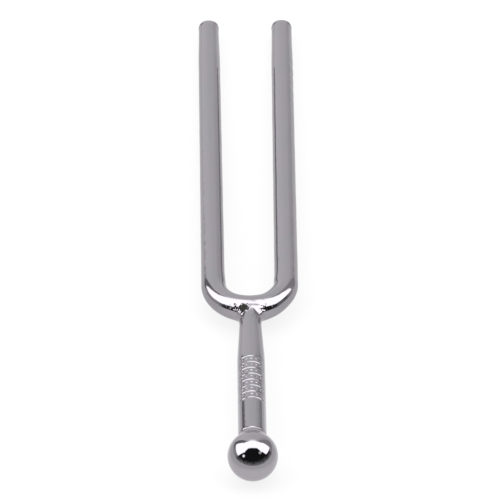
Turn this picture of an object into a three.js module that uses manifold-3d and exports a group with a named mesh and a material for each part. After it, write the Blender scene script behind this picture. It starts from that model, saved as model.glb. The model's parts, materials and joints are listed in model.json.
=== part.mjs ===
// A tuning fork for A at 440 Hz, in millimetres: a round steel bar bent to a U, a turned stem brazed to its
// bend, and a ball on the stem's end. All of it is chrome plated.
//
// The fork lies on a table (z = 0) on its ball and its two prong tips, with +Z up and the prongs towards +Y.
// The parts are drawn in the fork's own frame, x across the prongs and y along the stem, from the centre of
// the bend's arc. The last section leans that frame down until the tips touch the table.
//
// The bar is one piece of steel whose two legs bend when the fork sounds. Here it is parted just above the
// bend, so that each leg can swing about its root as a rigid prong.

import * as THREE from "three";
import { mergeVertices } from "three/addons/utils/BufferGeometryUtils.js";
import Module from "manifold-3d";

const wasm = await Module();
wasm.setup();

// ---- Driving dimensions, in millimetres and degrees ----

const BAR_R = 2.0; // radius of the round bar
const BEND_R = 6.2; // radius of the bend, to the bar's centre line
const SWELL = 0.25; // the bar is upset round the joint with the stem: its radius grows by this much
const SWELL_SHIFT = 0.1; // and its centre moves in by this much
const SWELL_TURN = 80; // degrees of the bend, each way from the stem, over which that fades out
const PRONG_LEAN = 0.55; // how far each prong leans outwards, in degrees
const PRONG_END = 76.0; // from the bend's centre to the prong tips
const TIP_R = 1.9; // the prongs are dressed down to this radius at the tip
const TIP_LENGTH = 3.5; // how far they keep it
const TIP_TAPER = 8.0; // and how far they taper to it
const TIP_ROUND = 0.3; // rounding of the tip's edge

const NECK_R = 1.82; // the stem's narrow neck, below the bend
const NECK_Y = -10.2;
const SHOULDER_Y = -20.0; // where the stem reaches its full radius
const STEM_R = 2.28;
const SEAM_Y = -37.4; // where the ball's collar meets the stem
const SEAM_CHAMFER = 0.12;

const BALL_R = 4.0;
const BALL_Y = -41.65; // the ball's centre
const FOOT_R = 0.5; // small turned flat at the bottom of the ball
const COLLAR_FILLET = 1.7; // between the ball and its collar

const SPIGOT_R = 1.1; // the stem's upper spigot, brazed into a socket in the bend
const SPIGOT_END_Y = -5.0;
const PIN_R = 1.3; // the stem's lower pin, pressed into the ball
const PIN_END_Y = -42.45;

const GAP = 0.3; // kept between neighbouring pieces, wider than the real joints
const BRAZE_GAP = 0.1; // kept round the ring of braze, which is too thin for the wide gap

const FILLET_R = 1.25; // concave radius of the braze around the neck
const FILLET_FLATTEN = 0.74; // the braze spreads along the bar, and less above and below it

const SIDES = 36; // facets round each turned surface
const BEND_STEPS = 30; // steps round the bend's arc
const LEG_STEPS = 3; // steps of the same length along each leg of the bend
const ARC_STEPS = 8; // steps on a rounded stretch of a profile

const steel = new THREE.MeshStandardMaterial({ color: 0xc3c1c5, metalness: 1, roughness: 0.12 });
const braze = new THREE.MeshStandardMaterial({ color: 0xb4b2b4, metalness: 1, roughness: 0.28 });

// ---- Helpers ----

// Points of a circular arc in a profile, from one angle to another in degrees: 0 points outwards, 90 along +y.
function arc(centreX, centreY, radius, fromDegrees, toDegrees, steps = ARC_STEPS) {
  const points = [];
  for (let i = 0; i <= steps; i++) {
    const angle = THREE.MathUtils.degToRad(fromDegrees + ((toDegrees - fromDegrees) * i) / steps);
    points.push(new THREE.Vector2(centreX + radius * Math.cos(angle), centreY + radius * Math.sin(angle)));
  }
  return points;
}

function point(x, y) {
  return new THREE.Vector2(x, y);
}

// A solid of revolution about y, from a profile that runs up from low y to high y.
function turned(profile) {
  return new THREE.LatheGeometry(profile, SIDES);
}

function cylinder(radius, fromY, toY) {
  return turned([point(0, fromY), point(radius, fromY), point(radius, toY), point(0, toY)]);
}

// A closed three.js geometry as a solid for cutting and joining, and back again.
function toSolid(geometry) {
  const bare = geometry.clone();
  bare.deleteAttribute("normal");
  bare.deleteAttribute("uv");
  const merged = mergeVertices(bare, 1e-4);
  return new wasm.Manifold(
    new wasm.Mesh({
      numProp: 3,
      vertProperties: merged.attributes.position.array,
      triVerts: new Uint32Array(merged.index.array),
    }),
  );
}

function toGeometry(solid) {
  const mesh = solid.getMesh();
  const geometry = new THREE.BufferGeometry();
  geometry.setAttribute("position", new THREE.BufferAttribute(mesh.vertProperties, 3));
  geometry.setIndex(new THREE.BufferAttribute(mesh.triVerts, 1));
  geometry.computeVertexNormals();
  return geometry;
}

function named(name, geometry, material) {
  const mesh = new THREE.Mesh(geometry, material);
  mesh.name = name;
  return mesh;
}

// ---- The bend ----

const lean = THREE.MathUtils.degToRad(PRONG_LEAN);
const bendLength = BEND_R * (Math.PI - 2 * lean);
const LEG = (LEG_STEPS * bendLength) / BEND_STEPS;

// The arc's two ends, and the direction in which a prong leaves them. Side is -1 on the left, 1 on the right.
function arcEnd(side) {
  return new THREE.Vector3(side * BEND_R * Math.cos(lean), -BEND_R * Math.sin(lean), 0);
}

function prongDirection(side) {
  return new THREE.Vector3(side * Math.sin(lean), Math.cos(lean), 0);
}

function legEnd(side) {
  return arcEnd(side).addScaledVector(prongDirection(side), LEG);
}

// The round of the bend, from the left leg to the right one.
class BendArc extends THREE.Curve {
  getPoint(t, target = new THREE.Vector3()) {
    const angle = Math.PI + lean + t * (Math.PI - 2 * lean);
    return target.set(BEND_R * Math.cos(angle), BEND_R * Math.sin(angle), 0);
  }
}

// The bent bar, legs included. A slightly fatter one is the tool that cuts its neighbours clear of it.
function bentBar(radius) {
  const path = new THREE.CurvePath();
  path.add(new THREE.LineCurve3(legEnd(-1), arcEnd(-1)));
  path.add(new BendArc());
  path.add(new THREE.LineCurve3(arcEnd(1), legEnd(1)));
  const section = new THREE.Shape().absarc(0, 0, radius, 0, 2 * Math.PI, false);
  return swollen(
    new THREE.ExtrudeGeometry(section, {
      steps: BEND_STEPS + 2 * LEG_STEPS,
      curveSegments: SIDES / 2,
      extrudePath: path,
    }),
  );
}

// Thickens the bar where the stem joins it, most at the bottom of the bend.
function swollen(geometry) {
  const position = geometry.attributes.position;
  const reachOfSwell = THREE.MathUtils.degToRad(SWELL_TURN);
  for (let i = 0; i < position.count; i++) {
    const turn = Math.atan2(position.getX(i), -position.getY(i));
    const share = Math.abs(turn) < reachOfSwell ? Math.cos((turn / reachOfSwell) * (Math.PI / 2)) ** 2 : 0;
    const growth = 1 + (SWELL / BAR_R) * share;
    const fromCentreLine = Math.hypot(position.getX(i), position.getY(i)) - BEND_R;
    const reach = BEND_R - SWELL_SHIFT * share + fromCentreLine * growth;
    position.setXYZ(i, reach * Math.sin(turn), -reach * Math.cos(turn), position.getZ(i) * growth);
  }
  return geometry;
}

function yokeBend() {
  const bottom = -BEND_R - 2 * BAR_R;
  const socket = toSolid(cylinder(SPIGOT_R + GAP, bottom, SPIGOT_END_Y + GAP));
  return toGeometry(toSolid(bentBar(BAR_R)).subtract(socket));
}

// ---- A prong, drawn up from its parting face ----

const PRONG_LENGTH = PRONG_END / Math.cos(lean) - LEG - GAP;

function prong() {
  return turned([
    point(0, 0),
    point(BAR_R, 0),
    point(BAR_R, PRONG_LENGTH - TIP_LENGTH - TIP_TAPER),
    point(TIP_R, PRONG_LENGTH - TIP_LENGTH),
    ...arc(TIP_R - TIP_ROUND, PRONG_LENGTH - TIP_ROUND, TIP_ROUND, 0, 90, ARC_STEPS / 2),
    point(0, PRONG_LENGTH),
  ]);
}

// ---- The stem ----

// From the pin in the ball up to the neck's coped end, which runs on inside the bar until that is cut away.
function stem() {
  const length = NECK_Y - SHOULDER_Y;
  const shoulderCurve = new THREE.CubicBezierCurve(
    point(STEM_R, SHOULDER_Y),
    point(STEM_R, SHOULDER_Y + 0.35 * length),
    point(NECK_R + 0.4 * (STEM_R - NECK_R), NECK_Y - 0.25 * length),
    point(NECK_R, NECK_Y),
  );
  const shoulder = SEAM_Y + GAP;
  const body = turned([
    point(0, PIN_END_Y),
    point(PIN_R, PIN_END_Y),
    point(PIN_R, shoulder),
    point(STEM_R - SEAM_CHAMFER, shoulder),
    point(STEM_R, shoulder + SEAM_CHAMFER),
    ...shoulderCurve.getPoints(ARC_STEPS),
    point(NECK_R, -BEND_R),
    point(0, -BEND_R),
  ]);
  const coped = toSolid(body).subtract(toSolid(bentBar(BAR_R + GAP)));
  return toGeometry(coped.add(toSolid(cylinder(SPIGOT_R, NECK_Y, SPIGOT_END_Y))));
}

// ---- The ball and its collar ----

function ballEnd() {
  const footAngle = THREE.MathUtils.radToDeg(Math.asin(FOOT_R / BALL_R));
  // The fillet's centre stands off both the ball and the collar by the fillet's radius.
  const filletX = STEM_R + COLLAR_FILLET;
  const filletAngle = THREE.MathUtils.radToDeg(Math.acos(filletX / (BALL_R + COLLAR_FILLET)));
  const filletY = BALL_Y + (BALL_R + COLLAR_FILLET) * Math.sin(THREE.MathUtils.degToRad(filletAngle));
  const boreR = PIN_R + GAP;
  return turned([
    point(0, BALL_Y - BALL_R * Math.cos(Math.asin(FOOT_R / BALL_R))),
    ...arc(0, BALL_Y, BALL_R, footAngle - 90, filletAngle, 2 * ARC_STEPS),
    ...arc(filletX, filletY, COLLAR_FILLET, 180 + filletAngle, 180, ARC_STEPS / 2),
    point(STEM_R, SEAM_Y - SEAM_CHAMFER),
    point(STEM_R - SEAM_CHAMFER, SEAM_Y),
    point(boreR, SEAM_Y),
    point(boreR, PIN_END_Y - GAP),
    point(0, PIN_END_Y - GAP),
  ]);
}

// ---- The ring of braze between the neck and the bend ----

// It flares from the neck until it runs out on the outside of the bend. Above and below, it slopes onto the bar.
function brazeFillet() {
  const outer = NECK_R + FILLET_R;
  const bendReach = BEND_R - SWELL_SHIFT + BAR_R + SWELL;
  const flareY = -Math.sqrt(bendReach ** 2 - outer ** 2);
  const bottom = flareY - FILLET_R;
  const flare = turned([
    point(0, bottom),
    ...arc(outer, bottom, FILLET_R, 180, 90),
    point(NECK_R, -BEND_R - BAR_R / 3),
    point(0, -BEND_R),
  ]);
  flare.scale(1, 1, FILLET_FLATTEN);
  return toGeometry(
    toSolid(flare)
      .subtract(toSolid(cylinder(NECK_R + BRAZE_GAP, bottom - FILLET_R, 0)))
      .subtract(toSolid(bentBar(BAR_R + BRAZE_GAP))),
  );
}

// ---- The fork, laid on the table ----

const fork = new THREE.Group();
fork.add(named("yoke_bend", yokeBend(), steel));
for (const [name, side] of [
  ["left_prong", -1],
  ["right_prong", 1],
]) {
  const mesh = named(name, prong(), steel);
  mesh.position.copy(legEnd(side).addScaledVector(prongDirection(side), GAP));
  mesh.rotation.z = -side * lean;
  fork.add(mesh);
}
fork.add(named("stem", stem(), steel));
fork.add(named("ball_end", ballEnd(), steel));
fork.add(named("braze_fillet", brazeFillet(), braze));

// The ball is fatter than the prongs, so the fork leans down towards its tips.
fork.rotation.x = -Math.asin((BALL_R - TIP_R) / (PRONG_END - TIP_ROUND - BALL_Y));
fork.updateMatrixWorld(true);
const box = new THREE.Box3().setFromObject(fork, true);
fork.position.set(0, -(box.min.y + box.max.y) / 2, -box.min.z);

const tuningFork = new THREE.Group();
tuningFork.add(fork);

export default tuningFork;
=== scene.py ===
"""The looks of a chrome-plated tuning fork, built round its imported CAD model.

The shapes are worked out in the fork's own frame, in millimetres: x across the prongs, y along the
stem towards the tips, z out of the fork's plane, from the centre of the bend's arc. to_row() puts
them where the CAD model lies.
"""

import json
import math

import bmesh
import bpy
import numpy as np
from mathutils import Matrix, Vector


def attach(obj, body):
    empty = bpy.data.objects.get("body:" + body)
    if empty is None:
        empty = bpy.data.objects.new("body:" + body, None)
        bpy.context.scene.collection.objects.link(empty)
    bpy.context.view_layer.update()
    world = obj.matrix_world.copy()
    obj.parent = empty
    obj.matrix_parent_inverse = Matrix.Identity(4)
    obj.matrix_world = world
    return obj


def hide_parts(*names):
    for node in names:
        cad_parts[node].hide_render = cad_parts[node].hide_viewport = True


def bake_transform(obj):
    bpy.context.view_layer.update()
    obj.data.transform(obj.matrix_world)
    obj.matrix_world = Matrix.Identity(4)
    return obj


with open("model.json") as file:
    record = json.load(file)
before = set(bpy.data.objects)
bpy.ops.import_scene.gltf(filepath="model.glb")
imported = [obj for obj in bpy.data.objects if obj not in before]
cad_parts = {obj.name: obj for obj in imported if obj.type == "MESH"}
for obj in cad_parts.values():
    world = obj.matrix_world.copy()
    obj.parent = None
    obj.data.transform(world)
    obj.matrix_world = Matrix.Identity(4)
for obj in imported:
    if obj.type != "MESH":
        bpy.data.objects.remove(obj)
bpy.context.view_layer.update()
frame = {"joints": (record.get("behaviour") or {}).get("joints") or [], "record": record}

# ---- Driving dimensions of the fork, as in its CAD source, in millimetres and radians ----

BAR_R = 2.0  # radius of the round bar
BEND_R = 6.2  # radius of the bend, to the bar's centre line
SWELL = 0.25  # the bar is upset round the joint with the stem: its radius grows by this much
SWELL_SHIFT = 0.1  # and its centre moves in by this much
SWELL_TURN = math.radians(80)  # how far round the bend that fades out, each way from the stem
PRONG_LEAN = math.radians(0.55)  # how far each prong leans outwards
PRONG_END = 76.0  # from the bend's centre to the prong tips
TIP_R = 1.9  # the prongs are dressed down to this radius at the tip
TIP_LENGTH = 3.5  # how far they keep it
TIP_TAPER = 8.0  # and how far they taper to it
TIP_ROUND = 0.3  # rounding of the tip's edge

NECK_R = 1.82  # the stem's narrow neck, below the bend
NECK_Y = -10.2
SHOULDER_Y = -20.0  # where the stem reaches its full radius
STEM_R = 2.28
SEAM_Y = -37.4  # where the ball's collar meets the stem

BALL_R = 4.0
BALL_Y = -41.65  # the ball's centre
FOOT_R = 0.5  # small turned flat at the bottom of the ball
COLLAR_FILLET = 1.7  # between the ball and its collar

# ---- Placing: the fork's own frame in the row frame ----

MM = 0.001
joints = {joint["name"]: joint for joint in frame["joints"]}
mounts = {mount["name"]: mount for mount in frame["record"]["mounts"]}
left_hinge = Vector(joints["left_flex"]["pos_m"])
right_hinge = Vector(joints["right_flex"]["pos_m"])
across = (right_hinge - left_hinge).normalized()
upward = Vector(joints["left_flex"]["axis"]).normalized()
along = upward.cross(across)
foot_y = BALL_Y - math.sqrt(BALL_R**2 - FOOT_R**2)
centre = Vector(mounts["ball_foot"]["pos_m"]) - along * foot_y * MM
AXES = np.array([across, along, upward])


def to_row(points):
    """Points from the fork's own frame, in millimetres, to the row frame, in metres."""
    return np.asarray(points, float) @ AXES * MM + np.array(centre)


# ---- Mesh helpers ----

SIDES = 192  # points round the bar and the ball


def smoothstep(low, high, value):
    """0 below low, 1 above high, and smooth between."""
    t = np.clip((np.asarray(value, float) - low) / (high - low), 0, 1)
    return t * t * (3 - 2 * t)


def ring_faces(count, sides, closed=False):
    """Quads between neighbouring rings of points, and from the last ring back to the first if closed."""
    faces = []
    for i in range(count if closed else count - 1):
        a, b = i * sides, (i + 1) % count * sides
        for j in range(sides):
            k = (j + 1) % sides
            faces.append((a + j, a + k, b + k, b + j))
    return faces


def keep_grain(mesh, points):
    """Stores where each point lies on the straight bar, in millimetres, for the materials to follow."""
    grain = mesh.attributes.new("grain", "FLOAT_VECTOR", "POINT")
    grain.data.foreach_set("vector", np.asarray(points, np.float32).ravel())


def face_outwards(mesh):
    """Turns all the faces of a closed mesh to point out of it."""
    work = bmesh.new()
    work.from_mesh(mesh)
    bmesh.ops.recalc_face_normals(work, faces=work.faces)
    work.to_mesh(mesh)
    work.free()


def with_hubs(rings):
    """The points of all the rings in one list, then the middles of the first and the last ring."""
    rings = np.asarray(rings, float)
    return np.vstack([rings.reshape(-1, 3), rings[0].mean(axis=0), rings[-1].mean(axis=0)])


def skin(name, rings, straight_rings=None, sharp_start=False, sharp_end=False):
    """A closed mesh through rings of points, its ends closed by fans. A sharp end keeps the rim's
    shading. The straight rings say where the points lay before the bar was bent."""
    count, sides = np.shape(rings)[:2]
    points = to_row(with_hubs(rings))
    start_hub, end_hub = count * sides, count * sides + 1
    faces = ring_faces(count, sides)
    last = (count - 1) * sides
    for j in range(sides):
        k = (j + 1) % sides
        faces.append((start_hub, k, j))
        faces.append((end_hub, last + j, last + k))
    mesh = bpy.data.meshes.new(name)
    mesh.from_pydata(points.tolist(), [], faces)
    mesh.shade_smooth()
    sharp_rims = [first for first, sharp in ((0, sharp_start), (last, sharp_end)) if sharp]
    for edge in mesh.edges:
        a, b = edge.vertices
        if any(first <= a < first + sides and first <= b < first + sides for first in sharp_rims):
            edge.use_edge_sharp = True
    keep_grain(mesh, with_hubs(rings if straight_rings is None else straight_rings))
    face_outwards(mesh)
    return bpy.data.objects.new(name, mesh)


def angles(sides=SIDES):
    """The angles of a ring's points, in radians."""
    return np.linspace(0, 2 * math.pi, sides, endpoint=False)


def arc(centre_x, centre_y, radius, from_degrees, to_degrees, steps):
    """Points (radius, y) on a circular arc of a profile, 0 degrees pointing outwards and 90 along +y."""
    a = np.radians(np.linspace(from_degrees, to_degrees, steps + 1))
    return [(centre_x + radius * math.cos(t), centre_y + radius * math.sin(t)) for t in a]


def turned_rings(profile, sides=SIDES, relief=None):
    """Rings about the stem's axis through a profile of (radius, y) points. relief(y, from_top) adds to
    the radius, from_top being the angle round the axis from the top of the stem, from -pi to pi."""
    phi = angles(sides)
    from_top = (phi - math.pi / 2) % (2 * math.pi) - math.pi
    rings = []
    for r, y in profile:
        reach = r + (relief(y, from_top) if relief else 0)
        rings.append(np.stack([reach * np.cos(phi), np.full(sides, y), -reach * np.sin(phi)], axis=1))
    return rings


# ---- The bar: the bend and the two prongs ----

ARC_HALF = BEND_R * (math.pi / 2 - PRONG_LEAN)  # from the bottom of the bend to the end of its arc
HINGE_S = ARC_HALF + math.hypot(
    (right_hinge - left_hinge).length / 2 / MM - BEND_R * math.cos(PRONG_LEAN),
    (right_hinge - centre).dot(along) / MM + BEND_R * math.sin(PRONG_LEAN),
)
TIP_S = ARC_HALF + PRONG_END / math.cos(PRONG_LEAN)


def swell(value, middle, half_width):
    """1 at the middle, 0 from half a width away on either side, and smooth between."""
    away = np.abs(np.asarray(value, float) - middle) / half_width
    return np.where(away < 1, np.cos(np.minimum(away, 1) * math.pi / 2) ** 2, 0)


RIDGE = 0.27  # height of the dressed ridge round the outside of the bend, on top
RIDGE_ANGLE = math.radians(33)  # where it lies round the bar, from straight outwards to straight up
RIDGE_HALF = math.radians(31)  # how far it reaches up and down from there
RIDGE_TURN = math.radians(28)  # how far round the bend it keeps its height, each way from the stem
RIDGE_FADE = math.radians(50)  # and where it has run out
CREST_FLAT = 0.055  # how deep a flat is filed along the ridge's crest
EDGE_FLAT = 0.010  # and where the ridge has run out
FLAT_TURN = math.radians(58)  # how far round the bend that goes
FLAT_FADE = math.radians(85)
TUCK = 0.2  # the right-hand corner of the bend is pulled in by this much
TUCK_TURN = math.radians(55)  # where it is deepest, round the bend
TUCK_HALF = math.radians(34)
INNER_FULLNESS = 0.2  # metal bunched up on the inside of the bend, round its two corners
FULLNESS_S = 8.0  # where it is highest, along the bar from the bottom of the bend
FULLNESS_HALF = 5.6  # how far it reaches from there, along the bar
FULLNESS_SPREAD = math.radians(75)  # and round the bar


def bend_reach(turn):
    """From the bend's centre to the middle of the bar, at an angle round the bend from its bottom."""
    return BEND_R - SWELL_SHIFT * swell(turn, 0, SWELL_TURN) - TUCK * swell(turn, TUCK_TURN, TUCK_HALF)


def bar_growth(s, phi):
    """What bending added to the bar's radius, at the distance s along it from the bottom of the bend.
    Phi is the angle round the bar from straight outwards."""
    turn = np.asarray(s, float) / BEND_R
    upset = SWELL * swell(turn, 0, SWELL_TURN)
    crest = 1 - smoothstep(RIDGE_TURN, RIDGE_FADE, np.abs(turn))
    ridge = RIDGE * swell(phi, RIDGE_ANGLE, RIDGE_HALF) * crest
    inside = swell(np.abs(phi), math.pi, FULLNESS_SPREAD) * swell(np.abs(s), FULLNESS_S, FULLNESS_HALF)
    flat_depth = CREST_FLAT * crest + EDGE_FLAT * (1 - smoothstep(FLAT_TURN, FLAT_FADE, np.abs(turn)))
    lean = np.cos(np.clip(phi - RIDGE_ANGLE, -1, 1))
    flat = (BAR_R + upset + RIDGE * crest - flat_depth) / lean - BAR_R
    return np.minimum(upset + ridge + INNER_FULLNESS * inside, flat)


# The drawn bar's slight waviness. Each wave has a height, radians per millimetre along the bar, a
# number of waves round it, and a phase.
RIPPLES = ((0.006, 0.47, 2, 0), (0.004, 0.83, -3, 1.3), (0.0022, 1.9, 2, 0.7), (0.0018, 2.7, -1, 0))


def bar_ripple(s, phi):
    """The sum of those waves, as a change of the bar's radius."""
    return sum(height * np.sin(rate * s + waves * phi + phase) for height, rate, waves, phase in RIPPLES)


FILE_MARK_DEPTH = 0.06
FILE_MARK_PITCH = 3.4
FILE_MARK_S = TIP_S - 15  # where they are deepest, along the bar
FILE_MARK_HALF = 13  # how far they reach from there
FILE_MARK_ANGLE = 0.35  # where they lie round the bar, in radians from straight outwards
FILE_MARK_SPREAD = 0.9


def file_marks(s, phi):
    """A few nicks left by the file on the outer side of the right prong, near its tip."""
    nicks = np.maximum(np.sin(s * 2 * math.pi / FILE_MARK_PITCH), 0) ** 3
    along_bar = swell(s, FILE_MARK_S, FILE_MARK_HALF)
    return -FILE_MARK_DEPTH * nicks * along_bar * swell(phi, FILE_MARK_ANGLE, FILE_MARK_SPREAD)


TIP_DRESSED = 0.18  # how much the file took off the top of each tip
TIP_DRESS_LENGTH = 1.6
TIP_DRESS_SPREAD = 1.1  # how far round the bar it reached, in radians each way from the top


def tip_dressing(s, phi):
    """The top of each tip, filed down a little towards its end."""
    near_end = smoothstep(TIP_S - TIP_DRESS_LENGTH, TIP_S, abs(s))
    return -TIP_DRESSED * near_end * swell(phi, math.pi / 2, TIP_DRESS_SPREAD)


def bar_ring(s, radius):
    """A ring round the bar at s, the distance along it from the bottom of the bend, positive to the
    right. The relief is drawn in with the radius where the bar's end closes."""
    side = 1 if s >= 0 else -1
    turn = side * min(abs(s), ARC_HALF) / BEND_R
    straight = max(abs(s) - ARC_HALF, 0)
    forward = np.array([math.cos(turn), math.sin(turn), 0]) * side
    outward = np.array([math.sin(turn), -math.cos(turn), 0])
    up = np.array([0, 0, 1])
    phi = angles()
    signed_phi = np.where(phi > math.pi, phi - 2 * math.pi, phi)
    filed = file_marks(s, signed_phi) + tip_dressing(s, phi)
    relief = bar_growth(s, signed_phi) + bar_ripple(s, phi) + filed
    r = radius + relief * min(1, radius / BAR_R)
    spread = np.outer(r * np.cos(phi), outward) + np.outer(r * np.sin(phi), up)
    return bend_reach(turn) * outward + forward * straight + spread


def straight_ring(s, radius):
    """The same ring before the bar was bent, with the bar lying along y."""
    phi = angles()
    return np.stack([radius * np.cos(phi), np.full(SIDES, s), radius * np.sin(phi)], axis=1)


def bar_skin(name, profile, sharp_end=False):
    """A length of the bar through a profile of (s, radius)."""
    bent = [bar_ring(s, radius) for s, radius in profile]
    straight = [straight_ring(s, radius) for s, radius in profile]
    return skin(name, bent, straight, sharp_start=True, sharp_end=sharp_end)


def bend_skin():
    """The bend with its two short legs, up to the hinges."""
    left_leg = np.linspace(-HINGE_S, -ARC_HALF, 9)[:-1]
    bent = np.linspace(-ARC_HALF, ARC_HALF, 161)
    right_leg = np.linspace(ARC_HALF, HINGE_S, 9)[1:]
    stations = np.concatenate([left_leg, bent, right_leg])
    return bar_skin("bend_skin", [(s, BAR_R) for s in stations], sharp_end=True)


LIP_HEIGHT = 0.05  # a small lip left round the tip by dressing it
LIP_S = TIP_S - 0.75  # where it is highest, along the bar
LIP_WIDTH = 0.2
TIP_HUB = 0.1  # radius of the last ring on the tip's end face


def prong_skin(side, name):
    """A prong from its hinge to its tip: the full bar, the taper, the land with its lip, and the end."""
    land_s = TIP_S - TIP_LENGTH
    profile = [(s, BAR_R) for s in np.linspace(HINGE_S, land_s - TIP_TAPER, 150)]
    for s in np.linspace(land_s - TIP_TAPER, land_s, 17)[1:]:
        profile.append((s, BAR_R + (TIP_R - BAR_R) * float(smoothstep(land_s - TIP_TAPER, land_s, s))))
    for s in np.linspace(land_s, TIP_S - TIP_ROUND, 60)[1:-1]:
        profile.append((s, TIP_R + LIP_HEIGHT * math.exp(-(((s - LIP_S) / LIP_WIDTH) ** 2))))
    profile += [(s, r) for r, s in arc(TIP_R - TIP_ROUND, TIP_S - TIP_ROUND, TIP_ROUND, 0, 90, 10)]
    profile += [(TIP_S, r) for r in np.linspace(TIP_R - TIP_ROUND, TIP_HUB, 8)[1:]]
    return bar_skin(name, [(side * s, r) for s, r in profile])


# ---- The stem ----

STEM_SIDES = 288  # points round the stem, enough for its fine ornament
SEAM_ROUND = 0.4  # the stem's end is rounded over this length, above the seam
SEAM_DROP = 0.065  # and by this much
SEAM_LAP = 0.1  # it reaches this far down into the seam, a little narrower, with a flat end
SEAM_STEP = 0.04
SEAM_FACE = 0.5  # how far in the flat end reaches
SHOULDER_POWER = 1.7  # the curve of the taper from the shoulder to the neck
SHOULDER_BELLY = 0.9

MARK_LOW_Y = -30.4  # the engraved band on the stem's top
MARK_HIGH_Y = -20.5
MARK_MARGIN = 0.5
MARK_DEPTH = 0.06
MARK_WIDTH = 0.14
MARK_SPREAD = math.radians(66)  # how far round the stem it goes, each way from the top
MARK_FADE = 0.85  # the share of that where it starts to fade
MARK_RINGS = 8
DOT_PITCH = 0.78  # between the punched dots of a row, round the stem
DOT_R = 0.2


def shoulder_radius(y):
    """The stem's radius: full below the shoulder, down to the neck above it."""
    rise = np.clip((y - SHOULDER_Y) / (NECK_Y - SHOULDER_Y), 0, 1)
    return STEM_R + (NECK_R - STEM_R) * rise**SHOULDER_POWER * (1 + SHOULDER_BELLY * (1 - rise))


def mark_relief(y, from_top):
    """The engraved ornament on the stem: rings, with a row of punched dots between each two, all cut by
    hand and a little uneven."""
    if not MARK_LOW_Y - MARK_MARGIN < y < MARK_HIGH_Y + MARK_MARGIN:
        return np.zeros_like(from_top)
    w = from_top * STEM_R
    rings = np.linspace(MARK_LOW_Y, MARK_HIGH_Y, MARK_RINGS)
    rows = (rings[1:] + rings[:-1]) / 2
    from_ring = np.min(np.abs(y - rings))
    from_row = np.min(np.abs(y - rows))
    from_dot = np.hypot(w - DOT_PITCH * np.round(w / DOT_PITCH), from_row)
    ring_cut = np.exp(-((from_ring / MARK_WIDTH) ** 2))
    dot_cut = np.exp(-((from_dot / DOT_R) ** 4))
    hand = 0.85 + 0.2 * np.sin(1.7 * w + 2.3 * y) + 0.1 * np.sin(3.9 * w - 1.3 * y + 1)
    fade = 1 - smoothstep(MARK_SPREAD * MARK_FADE, MARK_SPREAD, np.abs(from_top))
    return -MARK_DEPTH * np.maximum(ring_cut, dot_cut) * hand * fade


def stem_skin():
    """The stem from the seam to inside the bend, with closer rings where it is engraved."""
    end_y = SEAM_Y - SEAM_LAP
    profile = [(STEM_R - SEAM_FACE, end_y), (STEM_R - SEAM_DROP - SEAM_STEP, end_y)]
    for share in np.linspace(0, 1, 17):
        profile.append((STEM_R - SEAM_DROP * (1 - share) ** 2, SEAM_Y + SEAM_ROUND * share))
    mark_low, mark_high = MARK_LOW_Y - MARK_MARGIN, MARK_HIGH_Y + MARK_MARGIN
    profile += [(STEM_R, y) for y in np.linspace(SEAM_Y + SEAM_ROUND, mark_low, 16)[1:]]
    profile += [(STEM_R, y) for y in np.linspace(mark_low, mark_high, 240)[1:]]
    profile += [(float(shoulder_radius(y)), y) for y in np.linspace(mark_high, NECK_Y, 50)[1:]]
    profile += [(NECK_R, y) for y in np.linspace(NECK_Y, -BEND_R, 12)[1:]]
    return skin("stem_skin", turned_rings(profile, STEM_SIDES, mark_relief))


# ---- The braze between the neck and the bend ----

BRAZE_SIDES = 288  # points round the braze, and rings from its rim on the neck to its rim on the bar
BRAZE_RINGS = 150
BRAZE_HEART = np.array([0, -6.1, 0])  # a point inside the joint from which all of its surface can be seen
NECK_EDGE = math.radians(21)  # the braze runs from this angle off the stem's axis, on the neck
BAR_EDGE_TOP = math.radians(97)  # to this one above and below the bar
BAR_EDGE_SIDE = math.radians(82)  # and to this one along it
WEB = 2.6  # how far the braze fills the corner along the bar
WEB_TOP = 1.2  # and above and below it
BRAZE_THICKNESS = 0.35
INNER_STEP = 4  # the inner side has one ring for this many of the outer side's
RIM_DIP = 0.03  # the braze's rims dip this far under the metal round them
RIM_SHARE = 0.06  # and do so over this share of its width
NEAR_REACH = 0.5  # the joint's surface lies between these two distances from its heart
FAR_REACH = 9.0
HALVINGS = 40  # of the range between them, to find it
BURIED_LOW_Y = -7.6  # the neck narrows between these two, where it is buried in the bar
BURIED_HIGH_Y = -5.4
BURIED_NARROWING = 0.6

BRAZE_SEED = 5
PIT_RANGES = ((-40, -9, 50), (14, 46, 26))  # degrees round the bend, from and to, and how many lie there
PIT_RISE = 8  # degrees that they lie above the ridge, round the bar
PIT_SPREAD = 9
PIT_R = (0.10, 0.24)
PIT_DEPTH = (0.02, 0.07)
PIT_DARKNESS = 0.8  # how near-black and dull a sunk pit is made

BLOB = np.array([-1.05, -7.9, 1.65])  # a lump left beside the neck, coloured near-black and dull
BLOB_R = np.array([0.95, 0.85, 1.2])
BLOB_HEIGHT = 0.16
BLOB_EDGE = 0.35  # it rises to its full height over this share of its radius
BEADS = 10  # of bright braze metal that stand out of it
BEAD_PLACES = (0.9, 0.9, 0.15)  # how far out in the lump they lie
BEAD_SIZES = (0.13, 0.24)
BEAD_TALLNESS = np.array([1, 1, 0.4])  # a bead is drawn out upwards
BEAD_HEIGHT = 0.09
DROP = np.array([0.4, -8.85, 1.75])  # a flat drop of braze metal that ran down the top of the neck
DROP_R = np.array([0.6, 0.8, 1.5])
DROP_HEIGHT = 0.06


def bar_distance(points):
    """Distance to the bar's surface, negative inside it."""
    x, y, z = np.moveaxis(points, -1, 0)
    turn = np.arctan2(x, -y)
    outwards = np.hypot(x, y) - bend_reach(turn)
    return np.hypot(outwards, z) - BAR_R - bar_growth(turn * BEND_R, np.arctan2(z, outwards))


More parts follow.
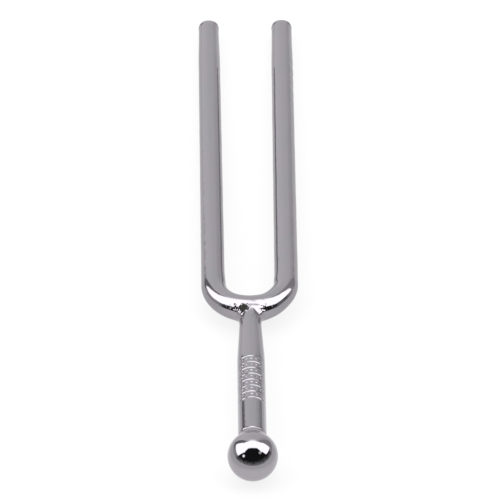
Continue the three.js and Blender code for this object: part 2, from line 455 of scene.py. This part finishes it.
def neck_distance(points):
    """Distance to the neck, which narrows where it is buried in the bar."""
    x, y, z = np.moveaxis(points, -1, 0)
    buried = BURIED_NARROWING * smoothstep(BURIED_LOW_Y, BURIED_HIGH_Y, y)
    return np.hypot(x, z) - shoulder_radius(y) * (1 - buried)


def joint_distance(points, softness):
    """Distance to the neck and the bar joined by a smooth fillet."""
    a, b = bar_distance(points), neck_distance(points)
    h = np.maximum(softness - np.abs(a - b), 0) / softness
    return np.minimum(a, b) - h**3 * softness / 6


def pits():
    """Small pits in the braze: their middles, radii and heights. Most are on the left, some on the
    right, and about one in three is raised."""
    rng = np.random.default_rng(BRAZE_SEED)
    middles, radii, heights = [], [], []
    for low_turn, high_turn, count in PIT_RANGES:
        for _ in range(count):
            turn = math.radians(rng.uniform(low_turn, high_turn))
            phi = RIDGE_ANGLE + math.radians(rng.normal(PIT_RISE, PIT_SPREAD))
            radius = BAR_R + bar_growth(turn * BEND_R, phi)
            reach = bend_reach(turn) + radius * math.cos(phi)
            up = radius * math.sin(phi)
            middles.append((reach * math.sin(turn), -reach * math.cos(turn), up))
            radii.append(rng.uniform(*PIT_R))
            heights.append(rng.uniform(*PIT_DEPTH) * rng.choice([-1, -1, 1]))
    return np.array(middles), np.array(radii), np.array(heights)


def beads():
    """The middles and radii of the beads in the lump."""
    rng = np.random.default_rng(BRAZE_SEED)
    middles = BLOB + rng.uniform(-1, 1, (BEADS, 3)) * BLOB_R * BEAD_PLACES
    return middles, rng.uniform(*BEAD_SIZES, BEADS)


def lump(points):
    """The lump beside the neck with its ragged edge: 1 on it and 0 off it."""
    x, y, z = points.T
    ragged = 0.25 * np.sin(7.3 * x + 1.1) * np.sin(6.1 * y - 2.0) + 0.15 * np.sin(13 * x - 9 * y)
    return smoothstep(0, BLOB_EDGE, 1 - np.linalg.norm((points - BLOB) / BLOB_R, axis=1) + ragged)


def braze_relief(points):
    """How much the braze is raised at each point, and how far it is coloured near-black and dull, from 0
    to 1.
    """
    middles, radii, heights = pits()
    away = np.linalg.norm(points[:, None, :] - middles, axis=2) / radii
    pit = np.exp(-(away**2))
    bead_middles, bead_radii = beads()
    bead_away = np.linalg.norm((points[:, None, :] - bead_middles) * BEAD_TALLNESS, axis=2) / bead_radii
    bead = np.max(np.exp(-(bead_away**2)), axis=1)
    blob = lump(points)
    drop = np.maximum(1 - np.sum(((points - DROP) / DROP_R) ** 2, axis=1), 0)
    x, y, z = points.T
    roll = 0.010 * np.sin(2.9 * x + 1.7 * y) * np.sin(3.3 * z + 0.4)
    lift = pit @ heights + BLOB_HEIGHT * blob + BEAD_HEIGHT * bead * blob + DROP_HEIGHT * drop + roll
    # near-black, dull colour on the whole lump and in the sunk pits, but not on the beads
    dark_share = np.maximum(blob, np.max(pit * (heights < 0), axis=1) * PIT_DARKNESS)
    return lift, dark_share * (1 - bead)


def braze_skin():
    """The braze as a shell: its outer side by rays from its heart, and an inner side under it. How far
    it is coloured near-black and dull is kept in the mesh as an attribute."""
    phi = angles(BRAZE_SIDES)
    bar_edge = BAR_EDGE_SIDE + (BAR_EDGE_TOP - BAR_EDGE_SIDE) * np.sin(phi) ** 2
    softness = WEB_TOP + (WEB - WEB_TOP) * np.cos(phi) ** 2
    outer, inner, dark_share = [], [], []
    for t in np.linspace(0, 1, BRAZE_RINGS):
        polar = NECK_EDGE + (bar_edge - NECK_EDGE) * t
        off_axis = np.sin(polar)
        rays = np.stack([off_axis * np.cos(phi), -np.cos(polar), -off_axis * np.sin(phi)], axis=1)
        near = np.full(BRAZE_SIDES, NEAR_REACH)
        far = np.full(BRAZE_SIDES, FAR_REACH)
        for _ in range(HALVINGS):
            reach = (near + far) / 2
            inside = joint_distance(BRAZE_HEART + rays * reach[:, None], softness) < 0
            near = np.where(inside, reach, near)
            far = np.where(inside, far, reach)
        surface = BRAZE_HEART + rays * near[:, None]
        rim = float(1 - smoothstep(0, RIM_SHARE, t) * (1 - smoothstep(1 - RIM_SHARE, 1, t)))
        lift, ring_dark = braze_relief(surface)
        outer.append(surface + rays * (lift * (1 - rim) - RIM_DIP * rim)[:, None])
        inner.append(surface - rays * BRAZE_THICKNESS)
        dark_share.append(ring_dark)
    inner = inner[::-INNER_STEP]
    rings = np.array(outer + inner)
    points = rings.reshape(-1, 3)
    mesh = bpy.data.meshes.new("braze_skin")
    mesh.from_pydata(to_row(points).tolist(), [], ring_faces(len(rings), BRAZE_SIDES, closed=True))
    mesh.shade_smooth()
    keep_grain(mesh, points)
    pit = mesh.attributes.new("pit", "FLOAT", "POINT")
    pit.data.foreach_set("value", np.array(dark_share + [dark_share[0]] * len(inner), np.float32).ravel())
    face_outwards(mesh)
    return bpy.data.objects.new("braze_skin", mesh)


# ---- The ball ----

COLLAR_WAIST = 0.06  # the collar between ball and seam is waisted by this much
BEAD_SLOPE = 14  # degrees: how steeply it rises again to a little bead under the seam
BEAD_ROUND = 0.08  # the bead's radius
BEAD_FACE = 0.3  # the face above it reaches this far in, to the stem
FOOT_HUB = 0.05  # radius of the first ring on the foot's flat


def ball_skin():
    """The ball with its turned foot, the fillet up to its collar, and the bead at the collar's end."""
    foot = math.degrees(math.asin(FOOT_R / BALL_R))
    fillet_x = STEM_R - COLLAR_WAIST + COLLAR_FILLET
    lift = math.degrees(math.acos(fillet_x / (BALL_R + COLLAR_FILLET)))
    fillet_y = BALL_Y + (BALL_R + COLLAR_FILLET) * math.sin(math.radians(lift))
    profile = [(FOOT_HUB, foot_y)]
    profile += arc(0, BALL_Y, BALL_R, foot - 90, lift, 96)
    profile += arc(fillet_x, fillet_y, COLLAR_FILLET, 180 + lift, 180 - BEAD_SLOPE, 20)[1:]
    edge_x, edge_y = profile[-1]
    bead_x = edge_x - BEAD_ROUND * math.cos(math.radians(BEAD_SLOPE))
    bead_y = edge_y + BEAD_ROUND * math.sin(math.radians(BEAD_SLOPE))
    profile += arc(bead_x, bead_y, BEAD_ROUND, -BEAD_SLOPE, 90, 8)[1:]
    profile += [(bead_x - BEAD_FACE, bead_y + BEAD_ROUND)]
    return skin("ball_skin", turned_rings(profile, SIDES))


# ---- Materials ----


class Shades:
    """Adds nodes to a tree. Inputs are numbers or other nodes' outputs. Each method but add returns an
    output."""

    def __init__(self, tree):
        self.tree = tree

    def add(self, kind, inputs, **settings):
        node = self.tree.nodes.new(kind)
        for name, value in settings.items():
            setattr(node, name, value)
        for name, value in inputs.items():
            if isinstance(value, bpy.types.NodeSocket):
                self.tree.links.new(value, node.inputs[name])
            else:
                node.inputs[name].default_value = value
        return node

    def math(self, operation, a, b=0.0):
        return self.add("ShaderNodeMath", {0: a, 1: b}, operation=operation).outputs[0]

    def plus(self, *values):
        result = values[0]
        for value in values[1:]:
            result = self.math("ADD", result, value)
        return result

    def product(self, *values):
        result = values[0]
        for value in values[1:]:
            result = self.math("MULTIPLY", result, value)
        return result

    def step(self, value, low, high, bottom=0.0, top=1.0):
        """Bottom at low, top at high, and smooth between. Low may be above high."""
        inputs = {"Value": value, "From Min": low, "From Max": high, "To Min": bottom, "To Max": top}
        return self.add("ShaderNodeMapRange", inputs, interpolation_type="SMOOTHSTEP").outputs[0]

    def mapped(self, vector, scale, turn=(0, 0, 0)):
        inputs = {"Vector": vector, "Scale": scale, "Rotation": turn}
        return self.add("ShaderNodeMapping", inputs).outputs[0]

    def noise(self, vector, scale, detail=2.0):
        inputs = {"Vector": vector, "Scale": scale, "Detail": detail}
        return self.add("ShaderNodeTexNoise", inputs).outputs["Fac"]


PLATE = (0.405, 0.375, 0.417)  # chrome over nickel, faintly mauve
PLATE_COOL = (0.385, 0.38, 0.405)  # and the cooler tone of its faint stains
DARK_DULL_TONE = (0.022, 0.022, 0.019)  # near-black, in the sunk pits and on the lump
DARK_DULL_ROUGHNESS = 0.34

# The scales of the noises, in cells per millimetre. A stretched one is drawn out along the metal.
SCRATCH_STRETCH = (9.0, 0.22, 9.0)
SCRATCH_PATCHES = 0.45
STREAK_STRETCH = (1.0, 0.07, 1.0)
STREAK_SCALE = 1.6
BLOTCH_SCALE = 0.33
SMUDGE_SCALE = 0.55
POLISH_STRETCH = (1.0, 0.05, 1.0)
POLISH_SCALE = 11.0
WAVE_SCALE = 0.8
DARK_PATCH_SCALE = 5.0

SCRATCH_WIDTH = 0.012
SCRATCH_DEPTH = 0.0006  # in millimetres
SCRATCH_DULLNESS = 0.12  # what a scratch adds to the roughness

# Over these stretches of a noise's value, its mark goes from none to full.
PATCH_RANGE = (0.62, 0.68)
STAIN_RANGE = (0.85, 1.2)
SMUDGE_RANGE = (0.35, 0.7)
DARK_PATCH_RANGE = (0.55, 0.85)
DARK_PATCHINESS = 0.6


def scratches(shades, grain, turn, density):
    """Hairline scratches in one direction, in patches: 1 on a scratch, 0 off it."""
    lines = shades.noise(shades.mapped(grain, SCRATCH_STRETCH, turn), 1.0, 0.0)
    line = shades.step(shades.math("ABSOLUTE", shades.plus(lines, -0.5)), SCRATCH_WIDTH, 0.0)
    patches = shades.noise(grain, SCRATCH_PATCHES, 1.0)
    return shades.product(line, shades.step(shades.plus(patches, density), *PATCH_RANGE))


def plated(name, gloss, lines, waves, stains):
    """Chrome plate. Gloss is its (lowest, highest) roughness, lines the depth of the polish lines along
    the bar and waves the height of its waviness, both in millimetres, and stains the strength of its
    cooler streaks."""
    material = bpy.data.materials.new(name)
    material.use_nodes = True
    shades = Shades(material.node_tree)
    shader = material.node_tree.nodes["Principled BSDF"]
    grain = shades.add("ShaderNodeAttribute", {}, attribute_name="grain").outputs["Vector"]

    streaks = shades.noise(shades.mapped(grain, STREAK_STRETCH), STREAK_SCALE, 3.0)
    blotches = shades.noise(grain, BLOTCH_SCALE, 3.0)
    cool = shades.step(shades.plus(streaks, blotches), *STAIN_RANGE, 0.0, stains)
    tones = {"Factor": cool, "A": (*PLATE, 1), "B": (*PLATE_COOL, 1)}
    tone = shades.add("ShaderNodeMix", tones, data_type="RGBA")
    shades.tree.links.new(tone.outputs["Result"], shader.inputs["Base Color"])

    marks = shades.math(
        "MAXIMUM",
        scratches(shades, grain, turn=(0.5, 0.2, 0.9), density=0.1),
        scratches(shades, grain, turn=(-0.4, 0.9, -0.6), density=0.05),
    )
    smudges = shades.step(shades.noise(grain, SMUDGE_SCALE, 4.0), *SMUDGE_RANGE, *gloss)
    roughness = shades.plus(smudges, shades.product(marks, SCRATCH_DULLNESS))
    shades.tree.links.new(roughness, shader.inputs["Roughness"])
    shader.inputs["Metallic"].default_value = 1

    polish = shades.product(shades.noise(shades.mapped(grain, POLISH_STRETCH), POLISH_SCALE, 2.0), lines)
    ripple = shades.product(shades.noise(grain, WAVE_SCALE, 1.0), waves)
    height = shades.plus(polish, ripple, shades.product(marks, -SCRATCH_DEPTH))
    bump = shades.add("ShaderNodeBump", {"Height": height, "Strength": 1.0, "Distance": MM})
    shades.tree.links.new(bump.outputs["Normal"], shader.inputs["Normal"])
    return material


def bar_chrome():
    return plated("bar_chrome", gloss=(0.035, 0.10), lines=0.0010, waves=0.010, stains=1.0)


def stem_chrome():
    return plated("stem_chrome", gloss=(0.04, 0.11), lines=0.0012, waves=0.008, stains=1.0)


def ball_chrome():
    return plated("ball_chrome", gloss=(0.015, 0.05), lines=0.0003, waves=0.006, stains=0.7)


def braze_plate():
    """The plating over the braze, made near-black and dull in its sunk pits and on the lump."""
    material = plated("braze_plate", gloss=(0.04, 0.12), lines=0.0002, waves=0.012, stains=0.5)
    shades = Shades(material.node_tree)
    shader = material.node_tree.nodes["Principled BSDF"]
    pit = shades.add("ShaderNodeAttribute", {}, attribute_name="pit").outputs["Fac"]
    grain = shades.add("ShaderNodeAttribute", {}, attribute_name="grain").outputs["Vector"]
    patchy = shades.product(shades.noise(grain, DARK_PATCH_SCALE, 2.0), DARK_PATCHINESS)
    dull = shades.step(shades.plus(pit, patchy), *DARK_PATCH_RANGE)
    dull_values = (("Base Color", "RGBA", (*DARK_DULL_TONE, 1)), ("Roughness", "FLOAT", DARK_DULL_ROUGHNESS))
    for socket, kind, dull_value in dull_values:
        plated_value = shader.inputs[socket].links[0].from_socket
        inputs = {"Factor": dull, "A": plated_value, "B": dull_value}
        mix = shades.add("ShaderNodeMix", inputs, data_type=kind)
        shades.tree.links.new(mix.outputs["Result"], shader.inputs[socket])
    return material


# ---- Pieces ----


def put(piece, material):
    """Links a piece to the scene and gives it its material."""
    bpy.context.scene.collection.objects.link(piece)
    piece.data.materials.append(material)
    return piece


bar_metal = bar_chrome()

bend = put(bend_skin(), bar_metal)
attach(bend, "handle")
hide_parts("yoke_bend")

stem = put(stem_skin(), stem_chrome())
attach(stem, "handle")
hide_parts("stem")

braze = put(braze_skin(), braze_plate())
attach(braze, "handle")
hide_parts("braze_fillet")

ball = put(ball_skin(), ball_chrome())
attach(ball, "handle")
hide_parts("ball_end")

for side, name, hinge in ((-1, "left_prong", left_hinge), (1, "right_prong", right_hinge)):
    prong = put(prong_skin(side, name + "_skin"), bar_metal)
    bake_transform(prong)
    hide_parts(name)

# ---- Studio ----

PAPER = 0.86  # radiance of the paper backdrop in the reflections
BACKDROP = 0.97  # and as the camera sees it behind the floor
TABLE_GLOW = 0.82  # the light table's own radiance, as the camera sees it
POOL_GLOW = 0.77  # and in the reflections, in a pool of light round the handle
TABLE_GLOW_FAR = 0.56  # and away from it
FLOOR_HALF = 3.0  # half its side, in metres
POOL_Y = -48.0  # the pool's middle, in millimetres in the row frame
POOL_ACROSS = 14.0
POOL_ALONG = 22.0
POOL_EDGE = (0.8, 1.6)  # it fades between these shares of its size
TABLE_COLOUR = 0.18  # the share of the studio's light that the floor throws back
LAMP = 2.6  # radiance of the softboxes
GAP_LIGHT = (0.24, 0.42)  # of the gap beside the paper, on the left and on the right
SIDE_LIGHT = 0.5  # of the studio's walls below the softboxes
ROOM = 0.015  # and of the dark room behind the camera
ROOM_FLOOR = PAPER * 0.62  # the room's lit floor adds this much to it

# Where the lights stand. They are measured on a plane one unit from the fork: above it, beside it or
# ahead of it. Every edge is a pair of places, from outside to inside, and the light fades in between.
HORIZON = (0, 0.05)
TOP_NEAR = (-0.19, -0.08)  # the softbox above: its near, far and side edges
TOP_FAR = (0.58, 0.46)
TOP_SIDE = (1.0, 0.85)
TOP_WINGS = 0.35  # its near edge slants further from the middle than this
TOP_WING_SLANT = 0.6
BESIDE_TOP = (1.45, 1.25)  # the upper edge of both softboxes beside the fork
LEFT_BOX = {"near": (-0.18, -0.10), "far": (0.79, 0.69), "low": (0.23, 0.32)}
LEFT_LEANS = {"near": 0.31, "far": 0, "low": 0}
RIGHT_BOX = {"near": (-0.22, -0.14), "far": (0.35, 0.25), "low": (0.34, 0.43)}
RIGHT_LEANS = {"near": 0.20, "far": -0.36, "low": 0.23}
REAR_LAMPS = ((-127, 32, 0.8), (127, 48, 0.3))  # azimuth and elevation in degrees, and strength
REAR_LAMP_EDGE = (7.5, 3.0)  # degrees off their middle
SWEEP_SIDE = (0.91, 0.81)  # the paper ahead: its side and upper edges
SWEEP_TOP = (2.5, 2.0)
SWEEP_LEAN = 0.1  # how much its sides lean in
SWEEP_LEFT = (-0.6, 0.3, 1.08, 0.98)  # across its left part, from and to, and its brightness there
SWEEP_RIGHT = (0.3, 0.85, 1.0, 0.76)  # and across its right part
SWEEP_GLOW = 1.6  # added to its brightness at the top, in the middle
SWEEP_GLOW_UP = (1.1, 2.1)
SWEEP_GLOW_SIDE = (0.6, 0.2)
ROOM_RANGE = (0.38, -0.25)  # heights between which the room's lit floor fades in
CLUTTER = 0.5  # how unevenly
FRONT = (-0.10, 0.17)  # where the studio's front part starts, which is lighter than the room
FRONT_SLANT = -0.18
GAP_AHEAD = (0.35, 0.62)  # its side walls end and the gap starts between these
GAP_TURN = (-0.3, 0.3)  # and the gap's light goes from its left value to its right one between these


def build_floor():
    """The light table the fork lies on. It is a little brighter for the camera than for reflections."""
    corners = [(x * FLOOR_HALF, y * FLOOR_HALF, 0) for x, y in ((-1, -1), (1, -1), (1, 1), (-1, 1))]
    mesh = bpy.data.meshes.new("floor")
    mesh.from_pydata(corners, [], [(0, 1, 2, 3)])
    floor = bpy.data.objects.new("floor", mesh)
    bpy.context.scene.collection.objects.link(floor)
    material = bpy.data.materials.new("light_table")
    material.use_nodes = True
    shader = material.node_tree.nodes["Principled BSDF"]
    shader.inputs["Base Color"].default_value = (TABLE_COLOUR, TABLE_COLOUR, TABLE_COLOUR, 1)
    shader.inputs["Roughness"].default_value = 1
    shader.inputs["Specular IOR Level"].default_value = 0
    shader.inputs["Emission Color"].default_value = (1, 1, 1, 1)
    shades = Shades(material.node_tree)
    pool = {
        "Vector": shades.add("ShaderNodeTexCoord", {}).outputs["Object"],
        "Scale": (1 / (POOL_ACROSS * MM), 1 / (POOL_ALONG * MM), 0),
        "Location": (0, -POOL_Y / POOL_ALONG, 0),
    }
    from_pool = shades.add("ShaderNodeMapping", pool).outputs[0]
    away = shades.add("ShaderNodeVectorMath", {0: from_pool}, operation="LENGTH").outputs["Value"]
    mirrored = shades.step(away, *POOL_EDGE, POOL_GLOW, TABLE_GLOW_FAR)
    seen = shades.add("ShaderNodeLightPath", {}).outputs["Is Camera Ray"]
    glow = shades.add("ShaderNodeMix", {"Factor": seen, "A": mirrored, "B": TABLE_GLOW})
    shades.tree.links.new(glow.outputs["Result"], shader.inputs["Emission Strength"])
    floor.data.materials.append(material)


def on_plane(shades, distance, *values):
    """Where a direction meets a plane one unit off: its other parts divided by the one towards it."""
    towards = shades.math("MAXIMUM", distance, 0.001)
    return [shades.math("DIVIDE", value, towards) for value in values]


def leaning(shades, value, other, lean):
    """A value that shifts with another, which makes an edge lean."""
    return shades.plus(value, shades.product(other, lean))


def softbox_above(shades, x, y, z):
    """The softbox above the fork: 1 in it, 0 outside. Its near edge slants towards its corners."""
    depth, width = on_plane(shades, z, y, shades.math("ABSOLUTE", x))
    wing = shades.math("MAXIMUM", shades.plus(width, -TOP_WINGS), 0.0)
    return shades.product(
        shades.step(leaning(shades, depth, wing, TOP_WING_SLANT), *TOP_NEAR),
        shades.step(depth, *TOP_FAR),
        shades.step(width, *TOP_SIDE),
        shades.step(z, *HORIZON),
    )


def softbox_beside(shades, out, y, z, edges, leans):
    """A softbox beside the fork: 1 in it, 0 outside. Out is the part of the direction towards it. Its
    near and far edges lean with the height, and its low edge with the distance forward."""
    forward, height = on_plane(shades, out, y, z)
    return shades.product(
        shades.step(leaning(shades, forward, height, leans["near"]), *edges["near"]),
        shades.step(leaning(shades, forward, height, leans["far"]), *edges["far"]),
        shades.step(leaning(shades, height, forward, leans["low"]), *edges["low"]),
        shades.step(height, *BESIDE_TOP),
        shades.step(out, *HORIZON),
    )


def rear_lamp(shades, direction, azimuth, elevation, strength):
    """A small round lamp. The azimuth is taken from straight ahead, positive to the right."""
    a = math.radians(azimuth)
    e = math.radians(elevation)
    towards = (math.sin(a) * math.cos(e), math.cos(a) * math.cos(e), math.sin(e))
    inputs = {0: direction, 1: towards}
    facing = shades.add("ShaderNodeVectorMath", inputs, operation="DOT_PRODUCT").outputs["Value"]
    edge = [math.cos(math.radians(degrees)) for degrees in REAR_LAMP_EDGE]
    return shades.product(shades.step(facing, *edge), strength)


def paper_sweep(shades, x, y, z):
    """The wall of paper ahead and how bright it is: it falls off to the right."""
    rightwards, up = on_plane(shades, y, x, z)
    off_middle = shades.math("ABSOLUTE", rightwards)
    there = shades.product(
        shades.step(leaning(shades, off_middle, up, SWEEP_LEAN), *SWEEP_SIDE),
        shades.step(up, *SWEEP_TOP),
        shades.step(y, *HORIZON),
    )
    glow = shades.product(
        shades.step(up, *SWEEP_GLOW_UP),
        shades.step(off_middle, *SWEEP_GLOW_SIDE),
        SWEEP_GLOW,
    )
    brightness = shades.product(
        shades.step(rightwards, *SWEEP_LEFT),
        shades.step(rightwards, *SWEEP_RIGHT),
        shades.plus(glow, 1.0),
        PAPER,
    )
    return there, brightness


def studio_walls(shades, direction, x, y, z):
    """The light of all that is neither paper nor lamp: the room behind, the side walls, and the gaps
    between them and the paper."""
    clutter = shades.product(shades.plus(shades.noise(direction, 5.0, 3.0), -0.5), CLUTTER)
    room = shades.plus(shades.step(shades.plus(z, clutter), *ROOM_RANGE, 0.0, ROOM_FLOOR), ROOM)
    gap = shades.step(x, *GAP_TURN, *GAP_LIGHT)
    walls = shades.step(y, *GAP_AHEAD, SIDE_LIGHT, gap)
    front = shades.step(leaning(shades, y, x, FRONT_SLANT), *FRONT)
    return shades.add("ShaderNodeMix", {"Factor": front, "A": room, "B": walls}).outputs["Result"]


def build_world():
    """A product studio: a paper sweep ahead, softboxes above and on both sides, and a dark room with two
    small lamps behind the camera. The camera itself sees plain paper all round."""
    world = bpy.data.worlds.new("studio")
    world.use_nodes = True
    shades = Shades(world.node_tree)
    direction = shades.add("ShaderNodeTexCoord", {}).outputs["Generated"]
    x, y, z = shades.add("ShaderNodeSeparateXYZ", {0: direction}).outputs
    left = shades.product(x, -1)

    light = studio_walls(shades, direction, x, y, z)
    sweep, sweep_light = paper_sweep(shades, x, y, z)
    light = shades.add("ShaderNodeMix", {"Factor": sweep, "A": light, "B": sweep_light}).outputs["Result"]
    lamps = [
        softbox_above(shades, x, y, z),
        softbox_beside(shades, left, y, z, LEFT_BOX, LEFT_LEANS),
        softbox_beside(shades, x, y, z, RIGHT_BOX, RIGHT_LEANS),
    ]
    lamps += [rear_lamp(shades, direction, *place_and_strength) for place_and_strength in REAR_LAMPS]
    for lamp in lamps:
        light = shades.add("ShaderNodeMix", {"Factor": lamp, "A": light, "B": LAMP}).outputs["Result"]

    seen = shades.add("ShaderNodeLightPath", {}).outputs["Is Camera Ray"]
    strength = shades.add("ShaderNodeMix", {"Factor": seen, "A": light, "B": BACKDROP}).outputs["Result"]
    background = world.node_tree.nodes["Background"]
    background.inputs["Color"].default_value = (1, 1, 1, 1)
    world.node_tree.links.new(strength, background.inputs["Strength"])
    bpy.context.scene.world = world


# The camera looks along the fork from its ball end, from above, through a long lens.
CAMERA_AZIMUTH = math.radians(0.67)
CAMERA_ELEVATION = math.radians(40.62)
CAMERA_DISTANCE = 0.476  # metres
CAMERA_LENS = 199.4  # its focal length and its sensor's width, in millimetres
CAMERA_SENSOR = 36.0
AIM_X = 0.16  # the point it looks at, in the fork's own frame
AIM_Y = 9.34


def build_camera():
    camera = bpy.data.objects.new("camera", bpy.data.cameras.new("camera"))
    bpy.context.scene.collection.objects.link(camera)
    camera.data.lens = CAMERA_LENS
    camera.data.sensor_width = CAMERA_SENSOR
    camera.data.clip_start = 0.01
    across_part = -math.sin(CAMERA_AZIMUTH) * math.cos(CAMERA_ELEVATION)
    along_part = -math.cos(CAMERA_AZIMUTH) * math.cos(CAMERA_ELEVATION)
    back = Vector((across_part, along_part, math.sin(CAMERA_ELEVATION)))
    aim = Vector(to_row([AIM_X, AIM_Y, 0]))
    camera.location = aim + back * CAMERA_DISTANCE
    camera.rotation_euler = (-back).to_track_quat("-Z", "Y").to_euler()
    bpy.context.scene.camera = camera


build_floor()
build_world()
build_camera()
bpy.context.scene.view_settings.view_transform = "Standard"
